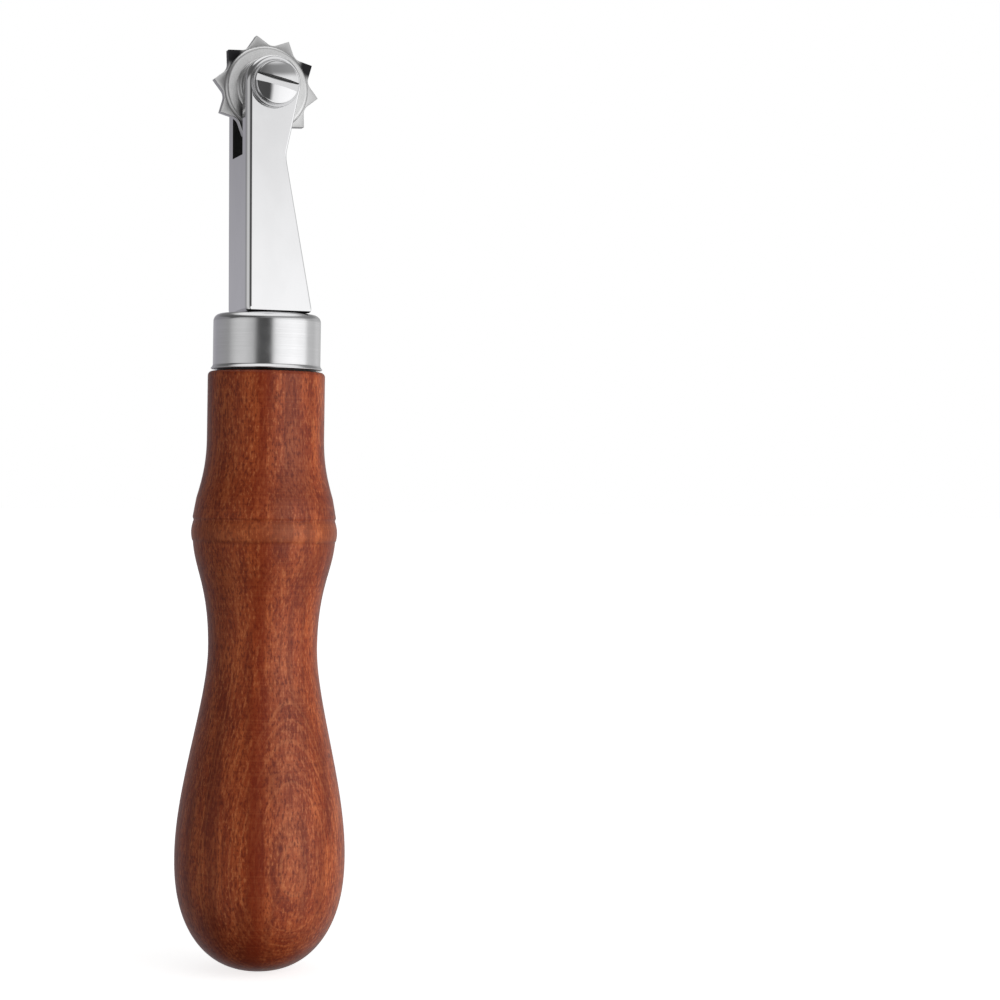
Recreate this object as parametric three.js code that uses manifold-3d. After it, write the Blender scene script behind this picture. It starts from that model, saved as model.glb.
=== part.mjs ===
// A leatherworker's tracing wheel: a ten-tooth marking wheel turns on a sleeve between the two
// prongs of a metal fork, and a slotted screw holds the sleeve. A stud joins the fork to a turned
// wooden handle through a steel ferrule.
//
// Millimetres. +Z runs up the handle to the wheel, the axle lies along Y with the screw's head on
// the -Y side, and the origin is on the handle's axis at its waist.
import * as THREE from "three";
import { mergeVertices } from "three/addons/utils/BufferGeometryUtils.js";
import Module from "manifold-3d";

const wasm = await Module();
wasm.setup();

const { PI, cos, sin, tan, hypot, atan2, acos } = Math;
const radians = THREE.MathUtils.degToRad;

// ---- driving dimensions ----------------------------------------------------------------------

const CLEARANCE = 0.05; // between fixed pieces that touch
const RUNNING = 0.07; // radial, between the wheel's bore and its sleeve

// Heights along the handle, measured from its butt.
const WAIST_HEIGHT = 48.7;
const WIDEST_HEIGHT = 17.3;
const BEAD_FOOT_HEIGHT = 64.8;
const GROOVE_HEIGHT = 68.0;
const BAND_TOP_HEIGHT = 71.0;
const NECK_FOOT_HEIGHT = 80.5;
const SHOULDER_HEIGHT = 90.45;
const FERRULE_TOP_HEIGHT = 99.1;
const PIVOT_HEIGHT = 133.1;

// Radii of the handle.
const WIDEST_RADIUS = 12.85;
const BUTT_FULLNESS = 2.3; // exponent of the butt's superellipse
const WAIST_RADIUS = 8.22;
const GRIP_TOP_RADIUS = 10.73;
const BEAD_RADIUS = 11.0;
const BAND_FOOT_RADIUS = 10.8;
const BAND_TOP_RADIUS = 10.38;
const GROOVE_DEPTH = 0.2;
const NECK_RADIUS = 8.83;
const SHOULDER_ROUND = 0.7;

// How far the handle's curves run on in their starting direction before they turn.
const SWELL_PULL = 10.5;
const WAIST_PULL_DOWN = 8.1;
const WAIST_PULL_UP = 9.1;
const FLARE_PULL = 4.6;
const FLARE_LEAN = 0.38; // how far the grip leans out over that last stretch
const COVE_PULL = 3;
const COVE_LEAN = 0.9;
const NECK_PULL = 4;

const FERRULE_RADIUS = 8.1;
const FERRULE_WALL = 0.6;
const FERRULE_LIP = 0.3; // how far the polished bottom rim stands out
const FERRULE_ROUND = 1.15;
const FERRULE_GAP = 0.3; // open joint between the ferrule and the handle's shoulder

const STUD_RADIUS = 2.5; // M5
const STUD_BEVEL = 0.5;
const STUD_IN_HANDLE = 22;
const STUD_IN_FORK = 8;

const FORK_DEPTH = 11.4;
const SLOT_WIDTH = 6.2;
const SLOT_BELOW_PIVOT = 10.4;
const FORK_LEFT = -4.7; // the base's two sides, from the handle's axis
const FORK_RIGHT = 5.5;
const FORK_EDGE = 0.4;
const FORK_CORNER = 0.9;
const PIVOT_X = -0.82;
const EAR_RADIUS = 4.15;
const EAR_RISE = 0.2; // the centre of the prongs' round ends, above the pivot
const EAR_SHIFT = -0.1; // and beside it
const NARROWS_X = 1.9; // where the right side turns, from the pivot
const NARROWS_BELOW_PIVOT = 10.6;

const TEETH = 10;
const TOOTH_SPACING = 5.08; // five marks to the inch
const TIP_RADIUS = (TEETH * TOOTH_SPACING) / (2 * PI);
const TIP_ANGLE = radians(90);
const VALLEY_RADIUS = 1.5;
const TOOTH_PHASE = radians(101.3);
const BLADE_THICKNESS = 1.4;
const DISC_RADIUS = 6.4;
const DISC_THICKNESS = 2.4;
const HUB_RADIUS = 4.5;
const HUB_LENGTH = 5.6;
const BORE_RADIUS = 3.0;
const DISC_ROUND = 0.45;
const HUB_BEVEL = 0.2;
const SLEEVE_BEVEL = 0.15;

const SCREW_RADIUS = 1.96; // M4
const SCREW_HOLE_RADIUS = 2.15;
const THREAD_HOLE_RADIUS = 2.02;
const WASHER_RADIUS = 3.62;
const WASHER_THICKNESS = 0.8;
const WASHER_SPLIT = 0.5;
const WASHER_SPLIT_TURN = radians(-60);
const WASHER_BEVEL = 0.12;
const HEAD_RADIUS = 3.25;
const HEAD_SIDE = 1.1;
const HEAD_DOME = 0.75;
const SCREWDRIVER_SLOT = 1.2;
const SCREWDRIVER_SLOT_DEPTH = 1.15;
const SCREWDRIVER_SLOT_TURN = radians(12);
const SCREW_END_RECESS = 0.4; // the screw's end stops inside the rear prong
const SCREW_END_BEVEL = 0.35;

const FINE = 40; // sides of the large round pieces
const SMALL = 32; // sides of the small ones
const BUTT_STEPS = 9; // straight steps along each curve of a profile
const SWELL_STEPS = 10;
const GRIP_STEPS = 8;
const BEAD_STEPS = 5;
const NECK_STEPS = 6;
const ROUND_STEPS = 5;
const DOME_STEPS = 6;
const OUTLINE_STEPS = 10;
const VALLEY_STEPS = 5;

// ---- helpers ---------------------------------------------------------------------------------

const at = (heightFromButt) => heightFromButt - WAIST_HEIGHT;

// A profile of [radius, height] pairs turned about the Y axis.
function turned(profile, sides) {
  const points = profile.map(([radius, height]) => new THREE.Vector2(radius, height));
  return new THREE.LatheGeometry(points, sides);
}

// The same, standing up along Z.
const turnedUpright = (profile, sides) => turned(profile, sides).rotateX(PI / 2);

// A closed ring profile between two radii, with its outer corners bevelled.
function ringProfile(inner, outer, low, high, bevel) {
  return [
    [inner, low],
    [outer - bevel, low],
    [outer, low + bevel],
    [outer, high - bevel],
    [outer - bevel, high],
    [inner, high],
    [inner, low],
  ];
}

// A shape drawn in X and Z, given a thickness along Y and centred on Y = 0.
function plate(shape, thickness, edge, curveSegments) {
  const geometry = new THREE.ExtrudeGeometry(shape, {
    depth: thickness - 2 * edge,
    bevelEnabled: edge > 0,
    bevelThickness: edge,
    bevelSize: edge,
    bevelOffset: -edge,
    bevelSegments: 2,
    curveSegments,
  });
  return geometry.rotateX(PI / 2).translate(0, thickness / 2 - edge, 0);
}

function solidFrom(geometry) {
  const bare = geometry.clone();
  bare.deleteAttribute("normal");
  bare.deleteAttribute("uv");
  const merged = mergeVertices(bare, 1e-4);
  return new wasm.Manifold(
    new wasm.Mesh({
      numProp: 3,
      vertProperties: merged.attributes.position.array,
      triVerts: new Uint32Array(merged.index.array),
    }),
  );
}

function geometryFrom(solid) {
  const mesh = solid.getMesh();
  const geometry = new THREE.BufferGeometry();
  geometry.setAttribute("position", new THREE.BufferAttribute(mesh.vertProperties, 3));
  geometry.setIndex(new THREE.BufferAttribute(mesh.triVerts, 1));
  geometry.computeVertexNormals();
  return geometry;
}

function cut(geometry, ...tools) {
  const result = tools.reduce((rest, tool) => rest.subtract(solidFrom(tool)), solidFrom(geometry));
  return geometryFrom(result);
}

function joined(first, ...others) {
  const result = others.reduce((sum, other) => sum.add(solidFrom(other)), solidFrom(first));
  return geometryFrom(result);
}

function piece(name, geometry, colour, roughness, metalness) {
  const material = new THREE.MeshStandardMaterial({ color: colour, roughness, metalness });
  const mesh = new THREE.Mesh(geometry, material);
  mesh.name = name;
  return mesh;
}

// ---- handle ----------------------------------------------------------------------------------

const TENON_RADIUS = FERRULE_RADIUS - FERRULE_WALL - CLEARANCE;
const FERRULE_INSIDE_TOP = FERRULE_TOP_HEIGHT - FERRULE_WALL;
const TENON_TOP = FERRULE_INSIDE_TOP - CLEARANCE;

// The butt swells from its lowest point to the widest along a superellipse.
function buttProfile() {
  const points = [];
  for (let i = 0; i < BUTT_STEPS; i += 1) {
    const fall = cos((i / BUTT_STEPS) * (PI / 2));
    const height = WIDEST_HEIGHT * (1 - fall);
    const radius = WIDEST_RADIUS * (1 - fall ** BUTT_FULLNESS) ** (1 / BUTT_FULLNESS);
    points.push([radius, height]);
  }
  return points;
}

// A quarter turn from facing out to facing up, round a centre.
function roundProfile(centreRadius, centreHeight, round) {
  const points = [];
  for (let i = 0; i <= ROUND_STEPS; i += 1) {
    const turn = (i / ROUND_STEPS) * (PI / 2);
    points.push([centreRadius + round * cos(turn), centreHeight + round * sin(turn)]);
  }
  return points;
}

function curveProfile(from, fromControl, toControl, to, steps) {
  const curve = new THREE.CubicBezierCurve(
    new THREE.Vector2(...from),
    new THREE.Vector2(...fromControl),
    new THREE.Vector2(...toControl),
    new THREE.Vector2(...to),
  );
  return curve.getPoints(steps).map((point) => [point.x, point.y]);
}

function gripProfile() {
  const lower = curveProfile(
    [WIDEST_RADIUS, WIDEST_HEIGHT],
    [WIDEST_RADIUS, WIDEST_HEIGHT + SWELL_PULL],
    [WAIST_RADIUS, WAIST_HEIGHT - WAIST_PULL_DOWN],
    [WAIST_RADIUS, WAIST_HEIGHT],
    SWELL_STEPS,
  );
  const upper = curveProfile(
    [WAIST_RADIUS, WAIST_HEIGHT],
    [WAIST_RADIUS, WAIST_HEIGHT + WAIST_PULL_UP],
    [GRIP_TOP_RADIUS - FLARE_LEAN, BEAD_FOOT_HEIGHT - FLARE_PULL],
    [GRIP_TOP_RADIUS, BEAD_FOOT_HEIGHT],
    GRIP_STEPS,
  );
  return [...lower, ...upper.slice(1)];
}

// The bead is an arc that stands out between the grip and the groove.
function beadProfile() {
  const middle = (BEAD_FOOT_HEIGHT + GROOVE_HEIGHT) / 2;
  const half = (GROOVE_HEIGHT - BEAD_FOOT_HEIGHT) / 2;
  const points = [];
  for (let i = 1; i <= BEAD_STEPS; i += 1) {
    const along = -1 + (2 * i) / (BEAD_STEPS + 1);
    const radius = BEAD_RADIUS - GROOVE_DEPTH * along * along;
    points.push([radius, middle + half * along]);
  }
  return points;
}

function neckProfile() {
  const cove = curveProfile(
    [BAND_TOP_RADIUS, BAND_TOP_HEIGHT],
    [BAND_TOP_RADIUS - COVE_LEAN, BAND_TOP_HEIGHT + COVE_PULL],
    [NECK_RADIUS, NECK_FOOT_HEIGHT - NECK_PULL],
    [NECK_RADIUS, NECK_FOOT_HEIGHT],
    NECK_STEPS,
  );
  const shoulder = roundProfile(
    NECK_RADIUS - SHOULDER_ROUND,
    SHOULDER_HEIGHT - SHOULDER_ROUND,
    SHOULDER_ROUND,
  );
  return [...cove, ...shoulder];
}

function handle() {
  const boreRadius = STUD_RADIUS + CLEARANCE;
  const boreFloor = TENON_TOP - STUD_IN_HANDLE;
  const profile = [
    ...buttProfile(),
    ...gripProfile(),
    ...beadProfile(),
    [BAND_FOOT_RADIUS - GROOVE_DEPTH, GROOVE_HEIGHT],
    [BAND_FOOT_RADIUS, GROOVE_HEIGHT + GROOVE_DEPTH],
    ...neckProfile(),
    [TENON_RADIUS, SHOULDER_HEIGHT],
    [TENON_RADIUS, TENON_TOP],
    [boreRadius, TENON_TOP],
    [boreRadius, boreFloor],
    [0, boreFloor],
  ];
  const standing = profile.map(([radius, height]) => [radius, at(height)]);
  return piece("handle", turnedUpright(standing, FINE), "#8a4428", 0.42, 0);
}

// ---- ferrule and stud ------------------------------------------------------------------------

function ferrule() {
  const bottom = at(SHOULDER_HEIGHT + FERRULE_GAP);
  const top = at(FERRULE_TOP_HEIGHT);
  const inside = FERRULE_RADIUS - FERRULE_WALL;
  const holeRadius = STUD_RADIUS + CLEARANCE;
  const profile = [
    [inside, bottom],
    [FERRULE_RADIUS, bottom],
    [FERRULE_RADIUS + FERRULE_LIP, bottom + FERRULE_LIP],
    [FERRULE_RADIUS, bottom + 3 * FERRULE_LIP],
    ...roundProfile(FERRULE_RADIUS - FERRULE_ROUND, top - FERRULE_ROUND, FERRULE_ROUND),
    [holeRadius, top],
    [holeRadius, at(FERRULE_INSIDE_TOP)],
    [inside, at(FERRULE_INSIDE_TOP)],
    [inside, bottom],
  ];
  return piece("ferrule", turnedUpright(profile, FINE), "#b9b9bb", 0.3, 1);
}

function tangStud() {
  const bottom = at(TENON_TOP - STUD_IN_HANDLE) + CLEARANCE;
  const top = at(FERRULE_TOP_HEIGHT + STUD_IN_FORK);
  const profile = [
    [0, bottom],
    [STUD_RADIUS - STUD_BEVEL, bottom],
    [STUD_RADIUS, bottom + STUD_BEVEL],
    [STUD_RADIUS, top - STUD_BEVEL],
    [STUD_RADIUS - STUD_BEVEL, top],
    [0, top],
  ];
  return piece("tang_stud", turnedUpright(profile, SMALL), "#a9a9ab", 0.4, 1);
}

// ---- fork ------------------------------------------------------------------------------------

// The point where a line from an outside point touches the ear's circle, on one side of it.
function earTangent(from, ear, side) {
  const away = atan2(from[1] - ear[1], from[0] - ear[0]);
  const distance = hypot(from[0] - ear[0], from[1] - ear[1]);
  return away + side * acos(EAR_RADIUS / distance);
}

function forkShape(base) {
  const pivot = [PIVOT_X, at(PIVOT_HEIGHT)];
  const ear = [pivot[0] + EAR_SHIFT, pivot[1] + EAR_RISE];
  const narrows = [pivot[0] + NARROWS_X, pivot[1] - NARROWS_BELOW_PIVOT];
  const left = [FORK_LEFT, base];
  const right = [FORK_RIGHT, base];
  const rightLean = (right[0] - narrows[0]) / (narrows[1] - base);
  const shape = new THREE.Shape();
  shape.moveTo(left[0] + FORK_CORNER, base);
  shape.lineTo(right[0] - FORK_CORNER, base);
  shape.quadraticCurveTo(right[0], base, right[0] - rightLean * FORK_CORNER, base + FORK_CORNER);
  shape.lineTo(...narrows);
  const start = earTangent(narrows, ear, 1);
  const end = earTangent(left, ear, -1) + 2 * PI;
  shape.absarc(...ear, EAR_RADIUS, start, end, false);
  shape.lineTo(left[0], base + FORK_CORNER);
  shape.quadraticCurveTo(left[0], base, left[0] + FORK_CORNER, base);
  return shape;
}

// A round bar along Y through the pivot, as a cutting tool.
function pivotBore(radius, from, to) {
  const bar = new THREE.CylinderGeometry(radius, radius, to - from, SMALL);
  return bar.translate(PIVOT_X, (from + to) / 2, at(PIVOT_HEIGHT));
}

function fork() {
  const base = at(FERRULE_TOP_HEIGHT) + CLEARANCE;
  const body = plate(forkShape(base), FORK_DEPTH, FORK_EDGE, OUTLINE_STEPS);
  const slotFloor = at(PIVOT_HEIGHT) - SLOT_BELOW_PIVOT;
  const slotHeight = SLOT_BELOW_PIVOT + 2 * EAR_RADIUS;
  const slot = new THREE.BoxGeometry(4 * EAR_RADIUS, SLOT_WIDTH, slotHeight);
  slot.translate(PIVOT_X, 0, slotFloor + slotHeight / 2);
  const studHole = new THREE.CylinderGeometry(
    STUD_RADIUS + CLEARANCE,
    STUD_RADIUS + CLEARANCE,
    2 * (STUD_IN_FORK + CLEARANCE),
    SMALL,
  );
  studHole.rotateX(PI / 2).translate(0, 0, at(FERRULE_TOP_HEIGHT));
  const front = pivotBore(SCREW_HOLE_RADIUS, -FORK_DEPTH, 0);
  const rear = pivotBore(THREAD_HOLE_RADIUS, 0, FORK_DEPTH);
  return piece("fork", cut(body, slot, studHole, front, rear), "#dcdcde", 0.16, 1);
}

// ---- wheel and sleeve ------------------------------------------------------------------------

// Straight flanks meet at each tip, and a small arc rounds each valley.
function toothShape() {
  const halfPitch = PI / TEETH;
  const lean = PI / 2 - TIP_ANGLE / 2 - halfPitch;
  const sharpValley = TIP_RADIUS * (cos(halfPitch) - sin(halfPitch) * tan(lean));
  const arcCentre = sharpValley + VALLEY_RADIUS / cos(lean);
  const shape = new THREE.Shape();
  for (let tooth = 0; tooth < TEETH; tooth += 1) {
    const tip = TOOTH_PHASE + 2 * tooth * halfPitch;
    const valley = tip - halfPitch;
    shape.absarc(
      arcCentre * cos(valley),
      arcCentre * sin(valley),
      VALLEY_RADIUS,
      valley + PI + lean,
      valley + PI - lean,
      true,
    );
    shape.lineTo(TIP_RADIUS * cos(tip), TIP_RADIUS * sin(tip));
  }
  shape.closePath();
  return shape;
}

function wheel() {
  const halfHub = HUB_LENGTH / 2;
  const halfDisc = DISC_THICKNESS / 2;
  const discProfile = ringProfile(BORE_RADIUS, DISC_RADIUS, -halfDisc, halfDisc, DISC_ROUND);
  const hubProfile = ringProfile(BORE_RADIUS, HUB_RADIUS, -halfHub, halfHub, HUB_BEVEL);
  const blade = plate(toothShape(), BLADE_THICKNESS, 0, VALLEY_STEPS);
  const disc = turned(discProfile, FINE);
  const hub = turned(hubProfile, FINE);
  const bore = turned(
    [
      [0, -HUB_LENGTH],
      [BORE_RADIUS, -HUB_LENGTH],
      [BORE_RADIUS, HUB_LENGTH],
      [0, HUB_LENGTH],
    ],
    FINE,
  );
  const mesh = piece("wheel", cut(joined(blade, disc, hub), bore), "#c6c6c6", 0.42, 1);
  mesh.position.set(PIVOT_X, 0, at(PIVOT_HEIGHT));
  return mesh;
}

function axleSleeve() {
  const half = SLOT_WIDTH / 2 - CLEARANCE / 2;
  const outer = BORE_RADIUS - RUNNING;
  const mesh = piece(
    "axle_sleeve",
    turned(ringProfile(SCREW_HOLE_RADIUS, outer, -half, half, SLEEVE_BEVEL), FINE),
    "#a4a4a6",
    0.35,
    1,
  );
  mesh.position.set(PIVOT_X, 0, at(PIVOT_HEIGHT));
  return mesh;
}

// ---- screw and washer ------------------------------------------------------------------------

function pivotScrew() {
  const cheek = -FORK_DEPTH / 2;
  const seat = cheek - WASHER_THICKNESS - 2 * CLEARANCE;
  const rim = seat - HEAD_SIDE;
  const end = FORK_DEPTH / 2 - SCREW_END_RECESS;
  const profile = [
    [0, end],
    [SCREW_RADIUS - SCREW_END_BEVEL, end],
    [SCREW_RADIUS, end - SCREW_END_BEVEL],
    [SCREW_RADIUS, seat],
    [HEAD_RADIUS, seat],
  ];
  for (let i = 0; i <= DOME_STEPS; i += 1) {
    const radius = HEAD_RADIUS * (1 - i / DOME_STEPS);
    profile.push([radius, rim - HEAD_DOME * (1 - (radius / HEAD_RADIUS) ** 2)]);
  }
  const slot = new THREE.BoxGeometry(
    3 * HEAD_RADIUS,
    2 * SCREWDRIVER_SLOT_DEPTH,
    SCREWDRIVER_SLOT,
  );
  slot.rotateY(SCREWDRIVER_SLOT_TURN).translate(0, rim - HEAD_DOME, 0);
  const body = turned(profile.reverse(), SMALL);
  const mesh = piece("pivot_screw", cut(body, slot), "#d2d2d4", 0.15, 1);
  mesh.position.set(PIVOT_X, 0, at(PIVOT_HEIGHT));
  return mesh;
}

// A spring washer: a thick ring with one narrow split.
function lockWasher() {
  const back = -FORK_DEPTH / 2 - CLEARANCE;
  const front = back - WASHER_THICKNESS;
  const profile = ringProfile(SCREW_HOLE_RADIUS, WASHER_RADIUS, front, back, WASHER_BEVEL);
  const split = new THREE.BoxGeometry(WASHER_RADIUS, 4 * WASHER_THICKNESS, WASHER_SPLIT);
  split.translate(WASHER_RADIUS, (front + back) / 2, 0).rotateY(WASHER_SPLIT_TURN);
  const ring = turned(profile, SMALL);
  const mesh = piece("lock_washer", cut(ring, split), "#b0b0b2", 0.3, 1);
  mesh.position.set(PIVOT_X, 0, at(PIVOT_HEIGHT));
  return mesh;
}

// ---- the tool --------------------------------------------------------------------------------

const tracingWheel = new THREE.Group();
tracingWheel.add(handle(), ferrule(), tangStud(), fork());
tracingWheel.add(wheel(), axleSleeve(), lockWasher(), pivotScrew());

export default tracingWheel;
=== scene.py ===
"""The looks of a tracing wheel: a turned wooden handle with a steel ferrule, a nickel-plated fork
and a ten-tooth wheel that turns on a sleeve held by a slotted screw.

The CAD frame gives the places. Every piece is made here in millimetres, in the frame's own axes:
+Z runs up the handle and the axle lies along Y, with the screw's head on the -Y side.
"""

from math import acos, atan2, cos, hypot, pi, radians, sin, tan

import bmesh
import bpy
from mathutils import Matrix, Vector


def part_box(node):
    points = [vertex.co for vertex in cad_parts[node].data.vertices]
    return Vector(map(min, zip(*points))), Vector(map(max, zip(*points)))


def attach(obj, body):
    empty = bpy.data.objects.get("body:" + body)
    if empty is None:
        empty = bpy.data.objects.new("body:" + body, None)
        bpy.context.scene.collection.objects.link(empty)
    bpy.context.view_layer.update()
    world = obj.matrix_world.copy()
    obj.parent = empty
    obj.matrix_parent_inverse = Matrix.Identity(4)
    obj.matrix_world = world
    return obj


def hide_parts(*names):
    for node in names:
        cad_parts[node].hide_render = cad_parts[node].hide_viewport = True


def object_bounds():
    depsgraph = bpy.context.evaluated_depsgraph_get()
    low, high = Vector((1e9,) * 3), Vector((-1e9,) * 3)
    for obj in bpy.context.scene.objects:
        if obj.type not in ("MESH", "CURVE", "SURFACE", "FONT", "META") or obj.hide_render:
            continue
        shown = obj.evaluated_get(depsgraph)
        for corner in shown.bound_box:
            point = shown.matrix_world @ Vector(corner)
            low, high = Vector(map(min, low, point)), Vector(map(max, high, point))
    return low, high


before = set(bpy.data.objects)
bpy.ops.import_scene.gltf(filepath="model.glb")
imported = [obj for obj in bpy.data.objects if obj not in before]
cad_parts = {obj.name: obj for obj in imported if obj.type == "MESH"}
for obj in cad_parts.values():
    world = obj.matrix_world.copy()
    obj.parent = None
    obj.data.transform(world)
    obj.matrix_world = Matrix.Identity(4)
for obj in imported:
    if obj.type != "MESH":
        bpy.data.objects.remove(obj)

CAD_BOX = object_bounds()
MM = 0.001

# ---- places from the frame, in millimetres -----------------------------------------------------

HANDLE_LOW, HANDLE_HIGH = (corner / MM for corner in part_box("handle"))
FERRULE_LOW, FERRULE_HIGH = (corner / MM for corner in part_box("ferrule"))
STUD_LOW, STUD_HIGH = (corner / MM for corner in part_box("tang_stud"))
FORK_LOW, FORK_HIGH = (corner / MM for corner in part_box("fork"))
_, WHEEL_HIGH = (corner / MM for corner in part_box("wheel"))
SLEEVE_LOW, SLEEVE_HIGH = (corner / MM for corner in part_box("axle_sleeve"))
WASHER_LOW, WASHER_HIGH = (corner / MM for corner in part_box("lock_washer"))
SCREW_LOW, SCREW_HIGH = (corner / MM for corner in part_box("pivot_screw"))
PIVOT = (SLEEVE_LOW + SLEEVE_HIGH) / 2

# ---- sizes, in millimetres ---------------------------------------------------------------------

# Heights above the butt, and radii, of the handle's profile.
BUTT = HANDLE_LOW.z  # where those heights start, in the frame
WIDEST_RADIUS = HANDLE_HIGH.x
WIDEST_HEIGHT = 17.3
BUTT_FULLNESS = 2.3  # exponent of the butt's superellipse
WAIST_HEIGHT = 48.7
WAIST_RADIUS = 8.22
BEAD_FOOT_HEIGHT = 64.8
GRIP_TOP_RADIUS = 10.73
BEAD_RADIUS = 11.0
BEAD_FALL = 0.2  # from the bead's middle to its edges
GROOVE_HEIGHT = 68.0
GROOVE_WIDTH = 1.0
GROOVE_DEPTH = 0.13
BAND_FOOT_RADIUS = 10.8
BAND_TOP_RADIUS = 10.38
BAND_TOP_HEIGHT = 71.0
NECK_RADIUS = 8.83
NECK_FOOT_HEIGHT = 80.5
SHOULDER_HEIGHT = 90.45
SHOULDER_ROUND = 0.7

# How far the handle's curves run on in their starting direction before they turn.
SWELL_PULL = 10.5
WAIST_PULL_DOWN = 8.1
WAIST_PULL_UP = 9.1
FLARE_PULL = 4.6
FLARE_LEAN = 0.38  # how far the grip leans out over that last stretch
COVE_PULL = 3.0
COVE_LEAN = 0.9
NECK_PULL = 4.0

FERRULE_RADIUS = 8.1
FERRULE_WALL = 0.6
FERRULE_RIM = 0.24  # height of the rim round the ferrule's foot
FERRULE_RIM_END = 35  # degrees round the rim's section, where the slope starts
FERRULE_FLARE = 0.44  # height of the polished slope above the rim
FERRULE_FLARE_CURVE = 1.4  # its exponent
FERRULE_ROUND = 1.15
FERRULE_SETTLE = 0.06  # from each end of the straight wall to a close ring
TENON_GAP = 0.05  # between fixed pieces that touch
STUD_BEVEL = 0.5

FORK_EDGE = 0.28
BUFFED_EDGE = 0.95  # the front's left edge, which the buffing wheel rounds most
FORK_CORNER = 0.9
FORK_LEFT = -4.7  # the foot's two sides, from the handle's axis
FORK_RIGHT = 5.5
EAR_RADIUS = 4.15
EAR_RISE = 0.2  # the middle of the prongs' round ends, above the pivot
EAR_SHIFT = -0.1  # and beside it
NARROWS_X = 1.9  # where the right side turns, from the pivot
NARROWS_BELOW_PIVOT = 10.6
SLOT_WIDTH = 6.2
SLOT_BELOW_PIVOT = 10.4
SLOT_EDGE = 0.14
SCREW_HOLE_RADIUS = 2.15
THREAD_HOLE_RADIUS = 2.02

TEETH = 10
TOOTH_SPACING = 5.08  # five marks to the inch
TIP_RADIUS = TOOTH_SPACING * TEETH / (2 * pi)
TIP_ANGLE = radians(90)
VALLEY_RADIUS = 1.5
TOOTH_PHASE = radians(101.3)
TOOTH_BEVEL = 0.06
BLADE_THICKNESS = 1.4
DISC_RADIUS = 6.4
DISC_THICKNESS = 2.4
DISC_ROUND = 0.55
DISC_FOOT = 0.06  # the small fillet where the disc meets the blade
HUB_RADIUS = 4.5
HUB_FILLET = 0.22
HUB_BEVEL = 0.18
BORE_RADIUS = 3.0
BORE_BEVEL = 0.12
SLEEVE_EDGE = 0.15
# Two dark teeth: their angles in degrees, and how far the dark spreads from each tip.
DARK_TEETH = ((137, 2.5), (29, 2.3))

SCREW_RADIUS = 1.96
SCREW_PITCH = 0.7
SCREW_BEVEL = 0.35
PLAIN_SHANK = 1.2  # under the head, before the thread
THREAD_RELIEF = 0.3  # the shank's step down after that
THREAD_START = 1.7
HEAD_RADIUS = SCREW_HIGH.x - PIVOT.x
HEAD_SIDE = 1.1
HEAD_DOME = 0.75
HEAD_EDGE = 0.16
HEAD_BEVEL = 0.1
DRIVER_SLOT_WIDTH = 1.2
DRIVER_SLOT_DEPTH = 1.15
DRIVER_SLOT_TURN = radians(12)
DRIVER_SLOT_EDGE = 0.07
WASHER_RADIUS = 3.62
WASHER_SPLIT_TURN = radians(60)
WASHER_SPLIT_ANGLE = radians(10)
WASHER_SLANT = 0.35  # how far its cut ends lean, for each millimetre of thickness
WASHER_EDGE = 0.14
STUD_PITCH = 0.8

THREAD_DEPTH = 0.5  # in pitches
THREAD_SLOPE = 2.4  # how fast a flank rises from root to crest
THREAD_ROOT = 0.5  # how far that rise is held back, which widens the root

# ---- looks -------------------------------------------------------------------------------------

HOLLOW_SHADE_LEVEL = 0.1  # the plating's colour inside the fork's slot, darkened as painted shade
CREVICE_SHADE_LEVEL = 0.012  # and in the screw's slot and along the fork's foot, darkened further as painted shade

RING_FACE = radians(-80)  # where the growth rings face, round the handle from +X
HEART_FACE = radians(-14)  # across the streak of heartwood
HEART_CORE = 0.5  # millimetres from its middle that are fully dark
HEART_END = 1.5  # and where it has faded out
FIGURE_NONE = 6.0  # height, in the frame, above which the rings hardly show
FIGURE_FULL = -12.0  # and below which they show fully
BEAD_HIGHLIGHT_FULL = 0.8  # millimetres from the bead's middle that take the full painted highlight
BEAD_HIGHLIGHT_END = 2.0
JOINT_DEPTH = 0.06  # how far down the shoulder the painted shade in the gap under the ferrule reaches

SIDES = 192  # of a full circle
CREASE = 40  # degrees, above which two faces meet in a sharp edge
TOOL_MARGIN = 1.0  # how far a cutting tool starts outside the piece it cuts


# ---- mesh helpers ------------------------------------------------------------------------------


def upright(radius, height, angle):
    """A point round the handle's axis."""
    return Vector((radius * cos(angle), radius * sin(angle), height))


def round_pivot(radius, depth, angle):
    """A point round the wheel's axis, which lies along Y."""
    return Vector((PIVOT.x + radius * cos(angle), depth, PIVOT.z + radius * sin(angle)))


def strip(low, high):
    """The faces between two rings of points, either of which may be one point on the axis."""
    count = max(len(low), len(high))
    faces = []
    for k in range(count):
        a, b = low[k % len(low)], low[(k + 1) % len(low)]
        c, d = high[(k + 1) % len(high)], high[k % len(high)]
        corners = [a, b, c, d]
        faces.append([v for i, v in enumerate(corners) if v not in corners[:i]])
    return faces


def revolved(profile, place, sides=SIDES, closed=False):
    """Points and faces of a profile turned about an axis.

    A radius may be a function of the angle."""
    points, rings = [], []
    for radius, height in profile:
        count = 1 if radius == 0 else sides
        ring = []
        for k in range(count):
            angle = 2 * pi * k / sides
            ring.append(len(points))
            points.append(place(radius(angle) if callable(radius) else radius, height, angle))
        rings.append(ring)
    following = rings[1:] + (rings[:1] if closed else [])
    faces = [face for low, high in zip(rings, following) for face in strip(low, high)]
    return points, faces


def capped(rings):
    """Points and faces of a bar through rings of equal count, closed at both ends."""
    points = [point for ring in rings for point in ring]
    count = len(rings[0])
    numbered = [list(range(r * count, (r + 1) * count)) for r in range(len(rings))]
    faces = [numbered[0][::-1], numbered[-1]]
    for low, high in zip(numbered, numbered[1:]):
        faces += strip(low, high)
    return points, faces


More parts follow.
